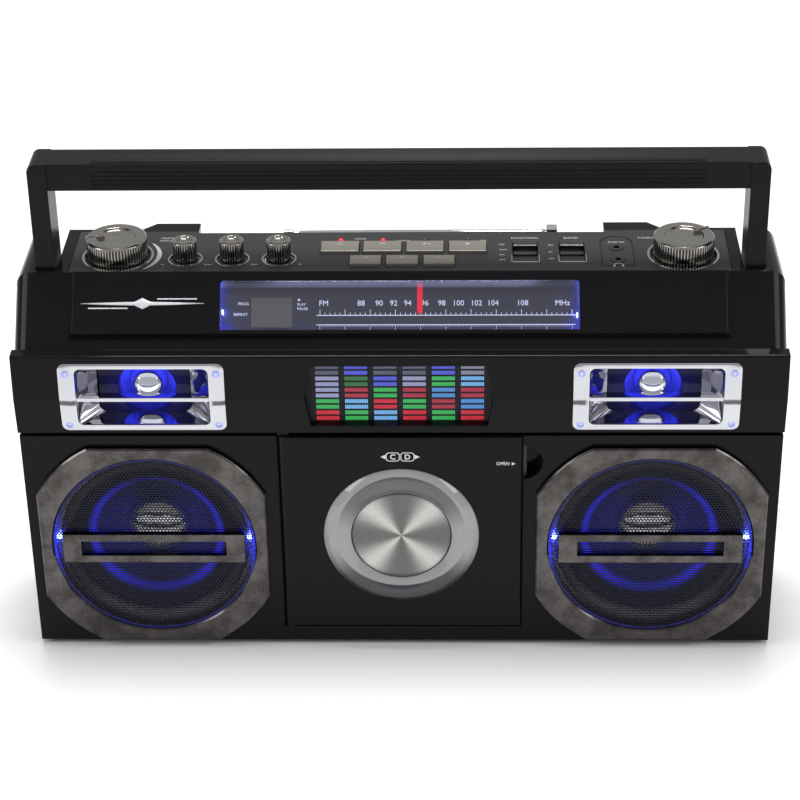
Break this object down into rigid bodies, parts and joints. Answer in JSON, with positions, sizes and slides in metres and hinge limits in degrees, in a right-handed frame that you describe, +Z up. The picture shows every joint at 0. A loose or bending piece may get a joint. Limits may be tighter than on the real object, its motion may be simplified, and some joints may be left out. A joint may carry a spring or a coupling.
{
  "type": "portable stereo radio and disc player",
  "caption": "Portable stereo with twin woofers and horn tweeters, radio dial, top controls, disc door, folding carry handle and telescopic antenna.",
  "frame": {"origin": "centre of the footprint, on the surface the feet stand on", "axes": "+Z up, -Y towards the listener (the speaker side), +X to the right as seen from the front"},
  "size_m": [0.425, 0.1, 0.2916],
  "materials": {
    "gloss_black": "high gloss",
    "satin_charcoal": "satin",
    "gunmetal": "polished dark plating",
    "bright_chrome": "polished plating",
    "champagne": "satin metallic",
    "handle_black": "fine grain",
    "grip_black": "ribbed",
    "foot_rubber": "matte",
    "clear_window": "clear",
    "smoked_window": "smoked",
    "dial_print": "printed",
    "display_grey": "unlit display",
    "pointer_red": "gloss",
    "lamp_red": "lit lens",
    "level_bars": "lit bars",
    "circuit_board": "solder mask",
    "mesh_black": "perforated, painted",
    "cone_black": "pressed cone",
    "driver_steel": "plated steel",
    "lamp_dome": "polished dome in a dark housing",
    "ring_grey": "translucent moulding",
    "spun_aluminium": "spun",
    "inner_black": "matte moulding",
    "antenna_chrome": "polished",
    "spring_steel": "bright",
    "screw_steel": "bright"
  },
  "bodies": {
    "cabinet": {"front_cabinet": "gloss_black", "rear_cabinet": "gloss_black", "rear_screws": "screw_steel", "feet": "foot_rubber", "tweeter_band": "gloss_black", "horn_screws": "screw_steel", "left_tweeter_horn": "bright_chrome", "right_tweeter_horn": "bright_chrome", "tweeter_drivers": "lamp_dome", "eq_board": "circuit_board", "eq_window": "smoked_window", "eq_bars": "level_bars", "woofer_bezels": "gunmetal", "woofer_grilles": "mesh_black", "grille_bars": "gunmetal", "woofer_drivers": "driver_steel", "dial_fascia": "gloss_black", "dial_window": "clear_window", "dial_scale": "dial_print", "track_display": "display_grey", "top_panel": "satin_charcoal", "control_dishes": "gunmetal", "control_pots": "driver_steel", "audio_jacks": "inner_black", "status_leds": "lamp_red", "handle_pivots": "driver_steel", "cd_hinge_pin": "driver_steel", "cd_tray": "inner_black", "battery_contacts": "spring_steel", "power_inlet": "inner_black", "main_board": "circuit_board", "antenna_clip": "inner_black"},
    "carry_handle": {"handle_frame": "handle_black", "handle_grip": "grip_black"},
    "left_woofer_cone": {"left_woofer_cone": "cone_black"},
    "right_woofer_cone": {"right_woofer_cone": "cone_black"},
    "dial_pointer": {"dial_pointer": "pointer_red"},
    "volume_knob": {"volume_knob": "gunmetal"},
    "tuning_knob": {"tuning_knob": "gunmetal"},
    "treble_knob": {"treble_knob": "gunmetal"},
    "bass_knob": {"bass_knob": "gunmetal"},
    "balance_knob": {"balance_knob": "gunmetal"},
    "function_slider": {"function_slider": "inner_black"},
    "band_slider": {"band_slider": "inner_black"},
    "cd_door": {"cd_door": "gloss_black", "cd_door_ring": "ring_grey", "cd_door_cap": "spun_aluminium"},
    "cd_turntable": {"cd_turntable": "inner_black"},
    "laser_sled": {"laser_sled": "inner_black"},
    "battery_door": {"battery_door": "gloss_black"},
    "antenna_knuckle": {"antenna_knuckle": "antenna_chrome"},
    "antenna_mast": {"antenna_mast": "antenna_chrome"},
    "antenna_tip": {"antenna_tip": "antenna_chrome"},
    "power_button": {"power_button": "champagne"},
    "mode_button": {"mode_button": "champagne"},
    "play_button": {"play_button": "champagne"},
    "stop_button": {"stop_button": "champagne"},
    "previous_button": {"previous_button": "champagne"},
    "next_button": {"next_button": "champagne"},
    "repeat_button": {"repeat_button": "champagne"}
  },
  "joints": [
    {"name": "handle_fold", "type": "hinge", "parent": "cabinet", "child": "carry_handle", "pos_m": [0, 0.003, 0.2165], "axis": [-1, 0, 0], "range_deg": [0, 90]},
    {"name": "volume_turn", "type": "hinge", "parent": "cabinet", "child": "volume_knob", "pos_m": [-0.1575, 0.009, 0.23], "axis": [0, 0, -1], "range_deg": [-150, 150]},
    {"name": "tuning_turn", "type": "hinge", "parent": "cabinet", "child": "tuning_knob", "pos_m": [0.1575, 0.009, 0.23], "axis": [0, 0, -1], "range_deg": [-126, 190]},
    {"name": "treble_turn", "type": "hinge", "parent": "cabinet", "child": "treble_knob", "pos_m": [-0.1193, 0.005, 0.23], "axis": [0, 0, -1], "range_deg": [-150, 150]},
    {"name": "bass_turn", "type": "hinge", "parent": "cabinet", "child": "bass_knob", "pos_m": [-0.0931, 0.005, 0.23], "axis": [0, 0, -1], "range_deg": [-150, 150]},
    {"name": "balance_turn", "type": "hinge", "parent": "cabinet", "child": "balance_knob", "pos_m": [-0.067, 0.005, 0.23], "axis": [0, 0, -1], "range_deg": [-150, 150]},
    {"name": "pointer_travel", "type": "slide", "parent": "cabinet", "child": "dial_pointer", "axis": [1, 0, 0], "range_m": [-0.0551, 0.0831]},
    {"name": "power_button_press", "type": "slide", "parent": "cabinet", "child": "power_button", "axis": [0, 0, -1], "range_m": [0, 0.0015], "stiffness_N_per_m": 600},
    {"name": "mode_button_press", "type": "slide", "parent": "cabinet", "child": "mode_button", "axis": [0, 0, -1], "range_m": [0, 0.0015], "stiffness_N_per_m": 600},
    {"name": "play_button_press", "type": "slide", "parent": "cabinet", "child": "play_button", "axis": [0, 0, -1], "range_m": [0, 0.0015], "stiffness_N_per_m": 600},
    {"name": "stop_button_press", "type": "slide", "parent": "cabinet", "child": "stop_button", "axis": [0, 0, -1], "range_m": [0, 0.0015], "stiffness_N_per_m": 600},
    {"name": "previous_button_press", "type": "slide", "parent": "cabinet", "child": "previous_button", "axis": [0, 0, -1], "range_m": [0, 0.0015], "stiffness_N_per_m": 600},
    {"name": "next_button_press", "type": "slide", "parent": "cabinet", "child": "next_button", "axis": [0, 0, -1], "range_m": [0, 0.0015], "stiffness_N_per_m": 600},
    {"name": "repeat_button_press", "type": "slide", "parent": "cabinet", "child": "repeat_button", "axis": [0, 0, -1], "range_m": [0, 0.0015], "stiffness_N_per_m": 600},
    {"name": "function_slide", "type": "slide", "parent": "cabinet", "child": "function_slider", "axis": [0, -1, 0], "range_m": [0, 0.009]},
    {"name": "band_slide", "type": "slide", "parent": "cabinet", "child": "band_slider", "axis": [0, -1, 0], "range_m": [0, 0.009]},
    {"name": "cd_door_swing", "type": "hinge", "parent": "cabinet", "child": "cd_door", "pos_m": [-0.0649, -0.0411, 0.077], "axis": [0, 0, -1], "range_deg": [0, 100]},
    {"name": "disc_spin", "type": "hinge", "parent": "cabinet", "child": "cd_turntable", "pos_m": [0, -0.03, 0.077], "axis": [0, -1, 0], "continuous": true},
    {"name": "sled_travel", "type": "slide", "parent": "cabinet", "child": "laser_sled", "axis": [1, 0, 0], "range_m": [0, 0.022]},
    {"name": "left_cone_throw", "type": "slide", "parent": "cabinet", "child": "left_woofer_cone", "axis": [0, -1, 0], "range_m": [-0.002, 0.002], "stiffness_N_per_m": 1500},
    {"name": "right_cone_throw", "type": "slide", "parent": "cabinet", "child": "right_woofer_cone", "axis": [0, -1, 0], "range_m": [-0.002, 0.002], "stiffness_N_per_m": 1500},
    {"name": "battery_door_swing", "type": "hinge", "parent": "cabinet", "child": "battery_door", "pos_m": [0, 0.0484, 0.021], "axis": [-1, 0, 0], "range_deg": [0, 95]},
    {"name": "antenna_swivel", "type": "hinge", "parent": "cabinet", "child": "antenna_knuckle", "pos_m": [0.0856, 0.0435, 0.2215], "axis": [0, 1, 0], "range_deg": [0, 135]},
    {"name": "antenna_lean", "type": "hinge", "parent": "antenna_knuckle", "child": "antenna_mast", "pos_m": [0.0856, 0.0435, 0.2245], "axis": [0, 0, -1], "range_deg": [0, 45]},
    {"name": "antenna_extend", "type": "slide", "parent": "antenna_mast", "child": "antenna_tip", "axis": [-1, 0, 0], "range_m": [0, 0.045]}
  ],
  "couplings": [
    {"joint": "pointer_travel", "follows": "tuning_turn", "m_per_rad": 0.025}
  ]
}
